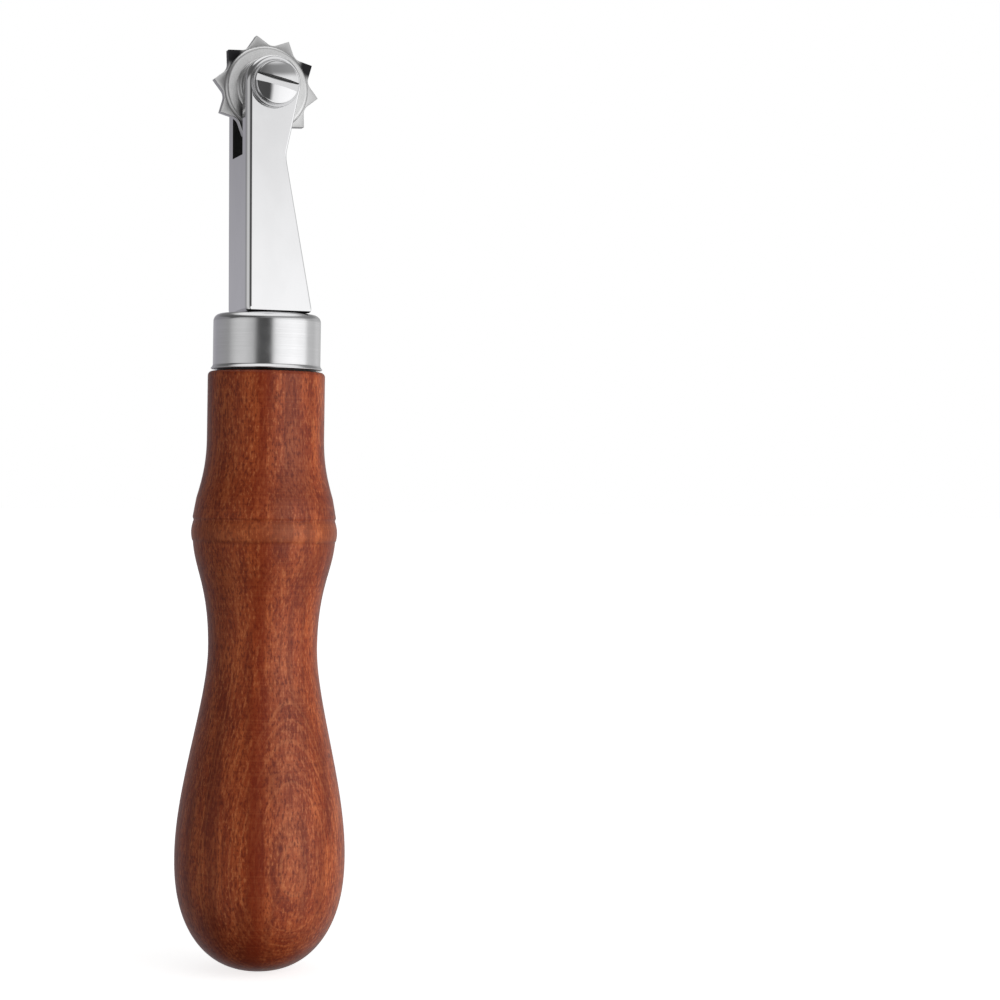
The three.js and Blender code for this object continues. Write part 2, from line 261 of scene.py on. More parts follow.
def finish_mesh(mesh, sharp):
    """Turns the faces outward and smooths them, with creases above an angle in degrees."""
    work = bmesh.new()
    work.from_mesh(mesh)
    bmesh.ops.recalc_face_normals(work, faces=work.faces)
    work.to_mesh(mesh)
    work.free()
    mesh.shade_smooth()
    mesh.set_sharp_from_angle(angle=radians(sharp))


def piece(name, shape, sharp=CREASE):
    """An object from points in millimetres and faces."""
    points, faces = shape
    mesh = bpy.data.meshes.new(name)
    mesh.from_pydata([point * MM for point in points], [], faces)
    finish_mesh(mesh, sharp)
    made = bpy.data.objects.new(name, mesh)
    bpy.context.scene.collection.objects.link(made)
    return made


def carve(target, tools, edge, edge_steps=3):
    """Cuts the tools out of the target, rounds its sharp edges and keeps flat faces flat."""
    for tool in tools:
        cut = target.modifiers.new("cut", "BOOLEAN")
        cut.operation = "DIFFERENCE"
        cut.solver = "EXACT"
        cut.object = tool
    ease = target.modifiers.new("ease", "BEVEL")
    ease.width = edge * MM
    ease.segments = edge_steps
    ease.limit_method = "ANGLE"
    ease.angle_limit = radians(CREASE)
    ease.miter_outer = "MITER_ARC"
    flat = target.modifiers.new("flat", "WEIGHTED_NORMAL")
    flat.keep_sharp = True
    graph = bpy.context.evaluated_depsgraph_get()
    result = bpy.data.meshes.new_from_object(target.evaluated_get(graph), depsgraph=graph)
    target.modifiers.clear()
    target.data = result
    for tool in tools:
        bpy.data.objects.remove(tool)


def block(name, low, high):
    """A box between two corners, as a cutting tool."""
    points = [Vector((x, y, z)) for x in (low[0], high[0]) for y in (low[1], high[1])
              for z in (low[2], high[2])]
    faces = [(0, 1, 3, 2), (4, 6, 7, 5), (0, 4, 5, 1), (2, 3, 7, 6), (0, 2, 6, 4), (1, 5, 7, 3)]
    return piece(name, (points, faces))


def bezier(start, start_control, end_control, end, steps):
    """Points along a cubic curve of (radius, height) pairs, without the first."""
    points = []
    for i in range(1, steps + 1):
        t = i / steps
        weights = ((1 - t) ** 3, 3 * (1 - t) ** 2 * t, 3 * (1 - t) * t * t, t ** 3)
        controls = (start, start_control, end_control, end)
        points.append(tuple(sum(w * c[k] for w, c in zip(weights, controls)) for k in (0, 1)))
    return points


def quarter_round(centre_radius, centre_height, radius, start, end, steps):
    """Points along an arc of a profile, by the angles of its start and end in degrees."""
    points = []
    for i in range(steps + 1):
        turn = radians(start + (end - start) * i / steps)
        points.append((centre_radius + radius * cos(turn), centre_height + radius * sin(turn)))
    return points


def eased_section(inner, outer, low, high, edge, steps):
    """The section of a ring, with its four corners rounded."""
    section = quarter_round(inner + edge, low + edge, edge, 180, 270, steps)
    section += quarter_round(outer - edge, low + edge, edge, -90, 0, steps)
    section += quarter_round(outer - edge, high - edge, edge, 0, 90, steps)
    section += quarter_round(inner + edge, high - edge, edge, 90, 180, steps)
    return section


def thread_radius(crest, pitch, height):
    """The radius of a screw thread, as a function of the angle at one height along it."""
    depth = THREAD_DEPTH * pitch

    def radius(angle):
        phase = (height / pitch - angle / (2 * pi)) % 1
        slope = min(1, max(0, THREAD_SLOPE * abs(2 * phase - 1) - THREAD_ROOT))
        return crest - depth * (1 - slope)

    return radius


def threaded(crest, pitch, start, end, steps_per_turn=10):
    """A profile along a thread, from start to end."""
    count = max(2, round(abs(end - start) / pitch * steps_per_turn))
    heights = [start + (end - start) * i / count for i in range(count + 1)]
    return [(thread_radius(crest, pitch, height), height) for height in heights]


# ---- handle ------------------------------------------------------------------------------------


def butt_profile(steps=40):
    points = []
    for i in range(steps + 1):
        fall = cos(i / steps * pi / 2)
        radius = WIDEST_RADIUS * (1 - fall ** BUTT_FULLNESS) ** (1 / BUTT_FULLNESS)
        points.append((radius, WIDEST_HEIGHT * (1 - fall)))
    return points


def bead_and_groove_profile(steps=14):
    """A low bead, then the rounded groove that the turner cut above it."""
    points = []
    foot, top = BEAD_FOOT_HEIGHT, GROOVE_HEIGHT - GROOVE_WIDTH / 2
    bead_edge = BEAD_RADIUS - BEAD_FALL
    for i in range(1, steps):
        along = -1 + 2 * i / steps
        height = (foot + top) / 2 + (top - foot) / 2 * along
        points.append((BEAD_RADIUS - BEAD_FALL * along * along, height))
    for i in range(steps + 1):
        across = i / steps
        rim = bead_edge + (BAND_FOOT_RADIUS - bead_edge) * across
        dip = GROOVE_DEPTH * sin(pi * across) ** 2
        points.append((rim - dip, top + GROOVE_WIDTH * across))
    return points


def handle():
    tenon_radius = FERRULE_RADIUS - FERRULE_WALL - TENON_GAP
    bore_radius = STUD_HIGH.x + TENON_GAP
    tenon_top = HANDLE_HIGH.z - BUTT
    bore_floor = STUD_LOW.z - BUTT - TENON_GAP
    profile = butt_profile()
    profile += bezier(
        (WIDEST_RADIUS, WIDEST_HEIGHT),
        (WIDEST_RADIUS, WIDEST_HEIGHT + SWELL_PULL),
        (WAIST_RADIUS, WAIST_HEIGHT - WAIST_PULL_DOWN),
        (WAIST_RADIUS, WAIST_HEIGHT),
        steps=48,
    )
    profile += bezier(
        (WAIST_RADIUS, WAIST_HEIGHT),
        (WAIST_RADIUS, WAIST_HEIGHT + WAIST_PULL_UP),
        (GRIP_TOP_RADIUS - FLARE_LEAN, BEAD_FOOT_HEIGHT - FLARE_PULL),
        (GRIP_TOP_RADIUS, BEAD_FOOT_HEIGHT),
        steps=32,
    )
    profile += bead_and_groove_profile()
    profile += bezier(
        (BAND_TOP_RADIUS, BAND_TOP_HEIGHT),
        (BAND_TOP_RADIUS - COVE_LEAN, BAND_TOP_HEIGHT + COVE_PULL),
        (NECK_RADIUS, NECK_FOOT_HEIGHT - NECK_PULL),
        (NECK_RADIUS, NECK_FOOT_HEIGHT),
        steps=24,
    )
    profile += quarter_round(
        NECK_RADIUS - SHOULDER_ROUND,
        SHOULDER_HEIGHT - SHOULDER_ROUND,
        SHOULDER_ROUND,
        0,
        90,
        steps=8,
    )
    profile += [
        (tenon_radius, SHOULDER_HEIGHT),
        (tenon_radius, tenon_top),
        (bore_radius, tenon_top),
        (bore_radius, bore_floor),
        (0, bore_floor),
    ]
    standing = [(radius, BUTT + height) for radius, height in profile]
    return piece("turned_handle", revolved(standing, upright))


# ---- ferrule and stud --------------------------------------------------------------------------


def ferrule(flare_steps=12):
    foot, top = FERRULE_LOW.z, FERRULE_HIGH.z
    inside = FERRULE_RADIUS - FERRULE_WALL
    hole = STUD_HIGH.x + TENON_GAP
    rim = FERRULE_RIM / 2
    profile = [(inside, foot)]
    profile += quarter_round(
        FERRULE_HIGH.x - rim, foot + rim, rim, -90, FERRULE_RIM_END, steps=10
    )
    rim_radius, rim_height = profile[-1]
    for i in range(1, flare_steps + 1):
        rise = i / flare_steps
        away = (rim_radius - FERRULE_RADIUS) * (1 - rise) ** FERRULE_FLARE_CURVE
        profile.append((FERRULE_RADIUS + away, rim_height + FERRULE_FLARE * rise))
    # Close rings keep the long straight wall flat in its shading.
    wall_foot, wall_top = profile[-1][1] + FERRULE_SETTLE, top - FERRULE_ROUND - FERRULE_SETTLE
    profile += [(FERRULE_RADIUS, wall_foot), (FERRULE_RADIUS, wall_top)]
    profile += quarter_round(
        FERRULE_RADIUS - FERRULE_ROUND, top - FERRULE_ROUND, FERRULE_ROUND, 0, 90, steps=14
    )
    profile += [(hole, top), (hole, top - FERRULE_WALL), (inside, top - FERRULE_WALL)]
    return piece("ferrule_shell", revolved(profile, upright, closed=True))


def tang_stud():
    low, high, crest = STUD_LOW.z, STUD_HIGH.z, STUD_HIGH.x
    profile = [(0, low), (crest - STUD_BEVEL, low)]
    profile += threaded(crest, STUD_PITCH, low + STUD_BEVEL, high - STUD_BEVEL)
    profile += [(crest - STUD_BEVEL, high), (0, high)]
    return piece("threaded_tang_stud", revolved(profile, upright, sides=48))


# ---- fork --------------------------------------------------------------------------------------


EAR = Vector((PIVOT.x + EAR_SHIFT, PIVOT.z + EAR_RISE))  # the middle of a prong's round end


def ear_tangent(start, side):
    """Where a line from a point below the ear touches its circle, as an angle round its middle."""
    away = atan2(start[1] - EAR.y, start[0] - EAR.x)
    distance = hypot(start[0] - EAR.x, start[1] - EAR.y)
    return away + side * acos(EAR_RADIUS / distance)


def on_ear(angle):
    return EAR + EAR_RADIUS * Vector((cos(angle), sin(angle)))


def corner_points(before, corner, after, steps=8):
    """A rounded corner, as a quadratic curve between two points beside it."""
    points = []
    for i in range(steps + 1):
        t = i / steps
        points.append([
            (1 - t) ** 2 * b + 2 * t * (1 - t) * c + t * t * a
            for b, c, a in zip(before, corner, after)
        ])
    return points


def fork_outline(ear_steps=96):
    """The prongs' side view in X and Z, anticlockwise from the foot's left corner."""
    base = FORK_LOW.z
    narrows = (PIVOT.x + NARROWS_X, PIVOT.z - NARROWS_BELOW_PIVOT)
    left, right = (FORK_LEFT, base), (FORK_RIGHT, base)
    lean = (right[0] - narrows[0]) / (narrows[1] - base)
    start = ear_tangent(narrows, 1)
    end = ear_tangent(left, -1) + 2 * pi
    points = corner_points(
        (left[0], base + FORK_CORNER), left, (left[0] + FORK_CORNER, base)
    )
    points += corner_points(
        (right[0] - FORK_CORNER, base),
        right,
        (right[0] - lean * FORK_CORNER, base + FORK_CORNER),
    )
    # The bend at the narrows starts 1 mm before them and ends 1 mm after.
    into_narrows = Vector(points[-1]) - Vector(narrows)
    into_narrows.normalize()
    out_of_narrows = (on_ear(start) - Vector(narrows)).normalized()
    points += corner_points(
        Vector(narrows) + into_narrows, narrows, Vector(narrows) + out_of_narrows
    )
    sweep = end - start
    points += [on_ear(start + sweep * i / ear_steps) for i in range(ear_steps + 1)]
    return [Vector(point) for point in points]


def outward(outline):
    """The way that each point of the outline faces."""
    facing = []
    for i, point in enumerate(outline):
        before = (point - outline[i - 1]).normalized()
        after = (outline[(i + 1) % len(outline)] - point).normalized()
        middle = (before + after).normalized()
        facing.append(Vector((middle.y, -middle.x)))
    return facing


def fork_ring(outline, side, turn):
    """The outline at one turn round the edge of the front cheek (side -1) or the rear one."""
    ring = []
    buffed = BUFFED_EDGE - FORK_EDGE if side < 0 else 0.0
    for point, facing in zip(outline, outward(outline)):
        edge = FORK_EDGE + buffed * max(0.0, -facing.x)
        moved = point - edge * (1 - sin(turn)) * facing
        ring.append(Vector((moved.x, side * (FORK_HIGH.y - edge * (1 - cos(turn))), moved.y)))
    return ring


def fork(edge_steps=14):
    outline = fork_outline()
    turns = [i / edge_steps * pi / 2 for i in range(edge_steps + 1)]
    rings = [fork_ring(outline, -1, turn) for turn in turns]
    rings += [fork_ring(outline, 1, turn) for turn in reversed(turns)]
    made = piece("polished_fork", capped(rings))
    floor_z = PIVOT.z - SLOT_BELOW_PIVOT
    reach = 4 * EAR_RADIUS
    half = SLOT_WIDTH / 2
    slot = block(
        "slot_tool", (PIVOT.x - reach, -half, floor_z), (PIVOT.x + reach, half, PIVOT.z + reach)
    )
    deep = 2 * FORK_HIGH.y
    front = [(0, -deep), (SCREW_HOLE_RADIUS, -deep), (SCREW_HOLE_RADIUS, 0), (0, 0)]
    rear = [(0, 0), (THREAD_HOLE_RADIUS, 0), (THREAD_HOLE_RADIUS, deep), (0, deep)]
    below, tap_end = FORK_LOW.z - TOOL_MARGIN, STUD_HIGH.z + TENON_GAP
    tap_radius = STUD_HIGH.x + TENON_GAP
    tap = [(0, below), (tap_radius, below), (tap_radius, tap_end), (0, tap_end)]
    tools = [
        slot,
        piece("front_hole_tool", revolved(front, round_pivot, sides=64)),
        piece("rear_hole_tool", revolved(rear, round_pivot, sides=64)),
        piece("tap_tool", revolved(tap, upright, sides=48)),
    ]
    carve(made, tools, SLOT_EDGE)
    return made


# ---- wheel and sleeve --------------------------------------------------------------------------

HALF_PITCH = pi / TEETH
FLANK_LEAN = pi / 2 - TIP_ANGLE / 2 - HALF_PITCH
SHARP_VALLEY = TIP_RADIUS * (cos(HALF_PITCH) - sin(HALF_PITCH) * tan(FLANK_LEAN))
VALLEY_CENTRE = SHARP_VALLEY + VALLEY_RADIUS / cos(FLANK_LEAN)
VALLEY_ENDS = atan2(
    VALLEY_RADIUS * sin(FLANK_LEAN), VALLEY_CENTRE - VALLEY_RADIUS * cos(FLANK_LEAN)
)


def tooth_radius(angle, ease=0.0):
    """The wheel's outline: straight flanks to each tip, and a small arc in each valley."""
    from_tip = (angle - TOOTH_PHASE) % (2 * HALF_PITCH)
    off_valley = abs(from_tip - HALF_PITCH)
    if off_valley >= VALLEY_ENDS:
        return SHARP_VALLEY * cos(FLANK_LEAN) / cos(off_valley + FLANK_LEAN) - ease
    across = VALLEY_CENTRE * sin(off_valley)
    return VALLEY_CENTRE * cos(off_valley) - (VALLEY_RADIUS ** 2 - across ** 2) ** 0.5 - ease


def wheel():
    half_hub = WHEEL_HIGH.y
    half_disc = DISC_THICKNESS / 2
    half_blade = BLADE_THICKNESS / 2
    half = [(BORE_RADIUS + BORE_BEVEL, half_hub)]
    half += quarter_round(
        HUB_RADIUS - HUB_BEVEL, half_hub - HUB_BEVEL, HUB_BEVEL, 90, 0, steps=6
    )
    half += quarter_round(
        HUB_RADIUS + HUB_FILLET, half_disc + HUB_FILLET, HUB_FILLET, 180, 270, steps=6
    )
    half += quarter_round(
        DISC_RADIUS - DISC_ROUND, half_disc - DISC_ROUND, DISC_ROUND, 90, -2, steps=10
    )
    half += [(DISC_RADIUS + DISC_FOOT / 3, half_blade + DISC_FOOT / 3)]
    half += [(DISC_RADIUS + DISC_FOOT, half_blade)]
    half += [(lambda angle: tooth_radius(angle, TOOTH_BEVEL), half_blade)]
    half += [(tooth_radius, half_blade - TOOTH_BEVEL)]
    inner = [(BORE_RADIUS, half_hub - BORE_BEVEL)]
    front = [(radius, -height) for radius, height in inner + half]
    profile = front + [(radius, height) for radius, height in reversed(inner + half)]
    shape = revolved(profile, round_pivot, sides=720, closed=True)
    return piece("toothed_wheel", shape, sharp=32)


def axle_sleeve():
    low, high = SLEEVE_LOW.y, SLEEVE_HIGH.y
    outer = SLEEVE_HIGH.x - PIVOT.x
    section = eased_section(SCREW_HOLE_RADIUS, outer, low, high, SLEEVE_EDGE, steps=4)
    return piece("axle_bush", revolved(section, round_pivot, sides=96, closed=True))


# ---- screw and washer --------------------------------------------------------------------------


def pivot_screw(dome_steps=24):
    seat = SCREW_LOW.y + HEAD_DOME + HEAD_SIDE
    rim = seat - HEAD_SIDE
    end = SCREW_HIGH.y
    dome_radius = HEAD_RADIUS - HEAD_EDGE
    profile = [(0, rim - HEAD_DOME)]
    for i in range(1, dome_steps):
        radius = dome_radius * i / dome_steps
        profile.append((radius, rim - HEAD_DOME * (1 - (radius / HEAD_RADIUS) ** 2)))
    dome_edge = rim - HEAD_DOME * (1 - (dome_radius / HEAD_RADIUS) ** 2)
    profile += quarter_round(dome_radius, dome_edge + HEAD_EDGE, HEAD_EDGE, -90, 0, steps=6)
    profile += [(HEAD_RADIUS, seat - HEAD_BEVEL), (HEAD_RADIUS - HEAD_BEVEL, seat)]
    profile += [(SCREW_RADIUS, seat), (SCREW_RADIUS, seat + PLAIN_SHANK)]
    profile += [(SCREW_RADIUS - THREAD_RELIEF, seat + PLAIN_SHANK + THREAD_RELIEF)]
    profile += threaded(SCREW_RADIUS, SCREW_PITCH, seat + THREAD_START, end - SCREW_BEVEL)
    profile += [(SCREW_RADIUS - SCREW_BEVEL, end), (0, end)]
    made = piece("slotted_pivot_screw", revolved(profile, round_pivot, sides=96))
    half = DRIVER_SLOT_WIDTH / 2
    reach = 2 * HEAD_RADIUS
    top = SCREW_LOW.y
    low = (-reach, top - TOOL_MARGIN, -half)
    high = (reach, top + DRIVER_SLOT_DEPTH, half)
    tool = block("driver_slot_tool", low, high)
    turn = Matrix.Rotation(DRIVER_SLOT_TURN, 4, "Y")
    tool.data.transform(Matrix.Translation(Vector((PIVOT.x, 0, PIVOT.z)) * MM) @ turn)
    carve(made, [tool], DRIVER_SLOT_EDGE, edge_steps=2)
    return made


def lock_washer(steps=96):
    """A spring washer: one turn of flat wire, its two ends a little apart."""
    front, back = WASHER_LOW.y, WASHER_HIGH.y
    section = eased_section(SCREW_HOLE_RADIUS, WASHER_RADIUS, front, back, WASHER_EDGE, steps=3)
    start = WASHER_SPLIT_TURN + WASHER_SPLIT_ANGLE / 2
    sweep = 2 * pi - WASHER_SPLIT_ANGLE
    slant = WASHER_SLANT / WASHER_RADIUS
    rings = []
    for i in range(steps + 1):
        angle = start + sweep * i / steps
        rings.append([
            round_pivot(radius, depth, angle + slant * (depth - front))
            for radius, depth in section
        ])
    return piece("spring_washer", capped(rings))


# ---- material helpers --------------------------------------------------------------------------


class Nodes:
    """A node tree, with short ways to add a node and join it up."""

    def __init__(self, tree):
        self.tree = tree

    def add(self, kind, inputs=None, **settings):
        node = self.tree.nodes.new(kind)
        for name, value in settings.items():
            setattr(node, name, value)
        for name, value in (inputs or {}).items():
            self.feed(node.inputs[name], value)
        return node

    def feed(self, socket, value):
        if isinstance(value, bpy.types.NodeSocket):
            self.tree.links.new(value, socket)
        else:
            socket.default_value = value

    def maths(self, operation, *values):
        node = self.add("ShaderNodeMath", operation=operation)
        for socket, value in zip(node.inputs, values):
            self.feed(socket, value)
        return node.outputs[0]

    def stretched(self, vector, scale):
        """Coordinates multiplied by a scale for each axis."""
        node = self.add("ShaderNodeVectorMath", operation="MULTIPLY")
        self.feed(node.inputs[0], vector)
        node.inputs[1].default_value = scale
        return node.outputs[0]

    def along(self, first, second, angle):
        """How far a place lies in the direction at an angle from the first axis to the second."""
        part = self.maths("MULTIPLY", first, cos(angle))
        other_part = self.maths("MULTIPLY", second, sin(angle))
        return self.maths("ADD", part, other_part)

    def noise(self, vector, detail=2.0, roughness=0.5):
        inputs = {"Vector": vector, "Scale": 1.0, "Detail": detail, "Roughness": roughness}
        return self.add("ShaderNodeTexNoise", inputs).outputs[0]

    def between(self, value, low, high, to_low=0.0, to_high=1.0, smooth=True):
        """A value moved from one range to another, and held at its ends."""
        node = self.add("ShaderNodeMapRange")
        node.interpolation_type = "SMOOTHSTEP" if smooth else "LINEAR"
        for socket, number in zip(node.inputs, (value, low, high, to_low, to_high)):
            self.feed(socket, number)
        return node.outputs[0]

    def mix(self, share, first, second):
        """The first colour with a share of the second."""
        # Only numbers tell this node's sockets apart, because their names repeat.
        node = self.add("ShaderNodeMix", data_type="RGBA")
        self.feed(node.inputs[0], share)
        self.feed(node.inputs[6], first)
        self.feed(node.inputs[7], second)
        return node.outputs[2]

    def ramp(self, value, stops):
        """Colours by value: stops are (position, colour) pairs."""
        node = self.add("ShaderNodeValToRGB", {"Fac": value})
        elements = node.color_ramp.elements
        while len(elements) < len(stops):
            elements.new(1.0)
        for element, (position, colour) in zip(elements, stops):
            element.position = position
            element.color = colour
        return node.outputs[0]


def new_material(name):
    """A material, its node helper, its Principled shader, and its coordinates in millimetres."""
    material = bpy.data.materials.new(name)
    material.use_nodes = True
    nodes = Nodes(material.node_tree)
    shader = material.node_tree.nodes["Principled BSDF"]
    place = nodes.add("ShaderNodeTexCoord").outputs["Object"]
    millimetres = nodes.stretched(place, (1 / MM,) * 3)
    return material, nodes, shader, millimetres


def bumped(nodes, shader, height, distance):
    """Roughens the surface by a height whose full range stands for a distance in millimetres."""
    bump = nodes.add("ShaderNodeBump", {"Height": height, "Distance": distance * MM})
    nodes.feed(shader.inputs["Normal"], bump.outputs[0])


def grey(level):
    return (level, level, level, 1.0)


# ---- materials ---------------------------------------------------------------------------------


def stained_wood():
    """Close-grained hardwood, stained red-brown, under a satin lacquer."""
    material, nodes, shader, place = new_material("stained_wood")
    x, y, z = nodes.add("ShaderNodeSeparateXYZ", {"Vector": place}).outputs
    # Growth rings lie flat against the side that RING_FACE faces, so the swell cuts them in arcs.
    wander = nodes.noise(nodes.stretched(place, (0.12, 0.12, 0.03)), detail=2.0)
    depth = nodes.along(x, y, RING_FACE)
    depth = nodes.maths("ADD", depth, nodes.maths("MULTIPLY", wander, 0.9))
    rings = nodes.add(
        "ShaderNodeTexNoise",
        {"W": depth, "Scale": 2.6, "Detail": 2.0, "Roughness": 0.6},
        noise_dimensions="1D",
    ).outputs[0]
    mottle = nodes.noise(nodes.stretched(place, (0.5, 0.5, 0.14)), detail=3.0, roughness=0.65)
    fibre = nodes.noise(nodes.stretched(place, (2.4, 2.4, 0.22)), detail=3.0, roughness=0.65)
    fleck = nodes.noise(nodes.stretched(place, (3.0, 3.0, 1.1)), detail=2.0, roughness=0.6)
    streak = nodes.noise(nodes.stretched(place, (0.3, 0.3, 0.016)), detail=2.0)
    tone = nodes.ramp(
        nodes.between(mottle, 0.35, 0.65, smooth=False),
        [
            (0.0, (0.33, 0.046, 0.010, 1)),
            (0.5, (0.45, 0.078, 0.018, 1)),
            (1.0, (0.57, 0.122, 0.032, 1)),
        ],
    )
    dark, pale = (0.17, 0.018, 0.004, 1), (0.76, 0.24, 0.085, 1)
    heartwood, gap_shade = (0.27, 0.025, 0.003, 1), (0.012, 0.006, 0.004, 1)
    tone = nodes.mix(nodes.between(fibre, 0.48, 0.3, 0.0, 0.5), tone, dark)
    tone = nodes.mix(nodes.between(fibre, 0.52, 0.72, 0.0, 0.3), tone, pale)
    figure = nodes.between(z, FIGURE_NONE, FIGURE_FULL, 0.12, 1.0)
    pale_ring = nodes.maths("MULTIPLY", figure, nodes.between(rings, 0.55, 0.68, 0.0, 0.36))
    dark_ring = nodes.maths("MULTIPLY", figure, nodes.between(rings, 0.46, 0.36, 0.0, 0.25))
    tone = nodes.mix(pale_ring, tone, pale)
    tone = nodes.mix(dark_ring, tone, dark)
    tone = nodes.mix(nodes.between(fleck, 0.54, 0.68, 0.0, 0.55), tone, pale)
    tone = nodes.mix(nodes.between(fleck, 0.48, 0.34, 0.0, 0.75), tone, dark)
    tone = nodes.mix(nodes.between(streak, 0.5, 0.62, 0.0, 0.45), tone, dark)
    # A darker streak of heartwood runs down the middle of the front.
    across = nodes.along(x, y, HEART_FACE)
    waver = nodes.noise(nodes.stretched(place, (0.5, 0.5, 0.05)), detail=3.0)
    across = nodes.maths("ADD", across, nodes.between(waver, 0.3, 0.7, -0.7, 1.5, smooth=False))
    heart = nodes.between(nodes.maths("ABSOLUTE", across), HEART_CORE, HEART_END, 0.55, 0.0)
    tone = nodes.mix(heart, tone, heartwood)
    # Surfaces that slope up or down are darker, the more so the steeper they slope.
    normal = nodes.add("ShaderNodeTexCoord").outputs["Normal"]
    slope = nodes.maths(
        "ABSOLUTE", nodes.add("ShaderNodeSeparateXYZ", {"Vector": normal}).outputs["Z"]
    )
    tone = nodes.mix(nodes.between(slope, 0.05, 0.9, 0.0, 0.6, smooth=False), tone, dark)
    turning = nodes.noise(nodes.stretched(place, (0.03, 0.03, 3.2)), detail=3.0)
    tone = nodes.mix(nodes.between(turning, 0.48, 0.32, 0.0, 0.14), tone, dark)
    tone = nodes.mix(nodes.between(turning, 0.54, 0.7, 0.0, 0.08), tone, pale)
    # A painted highlight: the bead is paler towards its middle.
    bead = BUTT + (BEAD_FOOT_HEIGHT + GROOVE_HEIGHT) / 2
    from_bead = nodes.maths("ABSOLUTE", nodes.maths("SUBTRACT", z, bead))
    bead_highlight = nodes.between(from_bead, BEAD_HIGHLIGHT_END, BEAD_HIGHLIGHT_FULL, 0.0, 0.16)
    tone = nodes.mix(bead_highlight, tone, pale)
    # Painted shade: the wood in the gap under the ferrule is made nearly black.
    in_shaded_gap = nodes.maths("GREATER_THAN", z, BUTT + SHOULDER_HEIGHT - JOINT_DEPTH)
    tone = nodes.mix(in_shaded_gap, tone, gap_shade)
    nodes.feed(shader.inputs["Base Color"], tone)
    nodes.feed(shader.inputs["Roughness"], nodes.between(fibre, 0.3, 0.7, 0.42, 0.34))
    shader.inputs["Specular IOR Level"].default_value = 0.3
    relief = nodes.maths("ADD", nodes.maths("MULTIPLY", turning, 0.6), fibre)
    bumped(nodes, shader, relief, 0.02)
    return material


def turned_steel(name, colour, roughness, spin_axis="Z", anisotropy=0.5, rings_depth=0.002):
    """Steel with the fine rings of a lathe tool, round the handle's axis or round the wheel's."""
    material, nodes, shader, place = new_material(name)
    shader.inputs["Metallic"].default_value = 1.0
    shader.inputs["Anisotropic"].default_value = anisotropy
    along = (0.04, 0.04, 14.0) if spin_axis == "Z" else (0.04, 14.0, 0.04)
    rings = nodes.noise(nodes.stretched(place, along), detail=3.0, roughness=0.7)
    cloud = nodes.noise(nodes.stretched(place, (0.5,) * 3), detail=4.0)
    dark = tuple(0.95 * c for c in colour) + (1.0,)
    light = tuple(min(1.0, 1.03 * c) for c in colour) + (1.0,)
    shade = nodes.mix(nodes.between(rings, 0.3, 0.7), dark, light)
    nodes.feed(shader.inputs["Base Color"], shade)
    rough = nodes.maths("ADD", roughness, nodes.between(cloud, 0.3, 0.7, -0.02, 0.03))
    nodes.feed(shader.inputs["Roughness"], rough)
    tangent = nodes.add("ShaderNodeTangent", direction_type="RADIAL", axis=spin_axis)
    nodes.feed(shader.inputs["Tangent"], tangent.outputs[0])
    bumped(nodes, shader, rings, rings_depth)
    return material


def screw_slot_shade(nodes, place):
    """1 on the upper wall of the screw's slot, darkened there as painted shade, and 0 elsewhere."""
    x, y, z = nodes.add("ShaderNodeSeparateXYZ", {"Vector": place}).outputs
    skin = 0.05  # deep enough to take in the whole wall
    right = nodes.maths("SUBTRACT", x, PIVOT.x)
    up = nodes.maths("SUBTRACT", z, PIVOT.z)
    off_middle = nodes.along(up, right, DRIVER_SLOT_TURN)
    past_wall = nodes.maths("SUBTRACT", off_middle, DRIVER_SLOT_WIDTH / 2)
    on_wall = nodes.maths("LESS_THAN", nodes.maths("ABSOLUTE", past_wall), skin)
    in_head = nodes.maths("LESS_THAN", y, SCREW_LOW.y + DRIVER_SLOT_DEPTH)
    return nodes.maths("MULTIPLY", on_wall, in_head)


def fork_slot_shade(nodes, place):
    """1 inside the fork's slot, where no wheel buffs the plating and its colour is darkened as
    painted shade, and 0 elsewhere.
    """
    y, z = nodes.add("ShaderNodeSeparateXYZ", {"Vector": place}).outputs[1:]
    skin = 0.03  # deep enough to take in the slot's own walls
    half, floor_z = SLOT_WIDTH / 2, PIVOT.z - SLOT_BELOW_PIVOT
    between_cheeks = nodes.maths("LESS_THAN", nodes.maths("ABSOLUTE", y), half + skin)
    above_floor = nodes.maths("GREATER_THAN", z, floor_z - skin)
    return nodes.maths("MULTIPLY", between_cheeks, above_floor)


def fork_foot_shade(nodes, place):
    """1 along the front of the fork's foot, darkened as painted shade in the joint with the ferrule,
    and 0 elsewhere.
    """
    y, z = nodes.add("ShaderNodeSeparateXYZ", {"Vector": place}).outputs[1:]
    low = nodes.maths("LESS_THAN", z, FORK_LOW.z + 1.1 * FORK_EDGE)
    front = nodes.maths("LESS_THAN", y, FORK_LOW.y + 3 * FORK_EDGE)
    return nodes.maths("MULTIPLY", low, front)


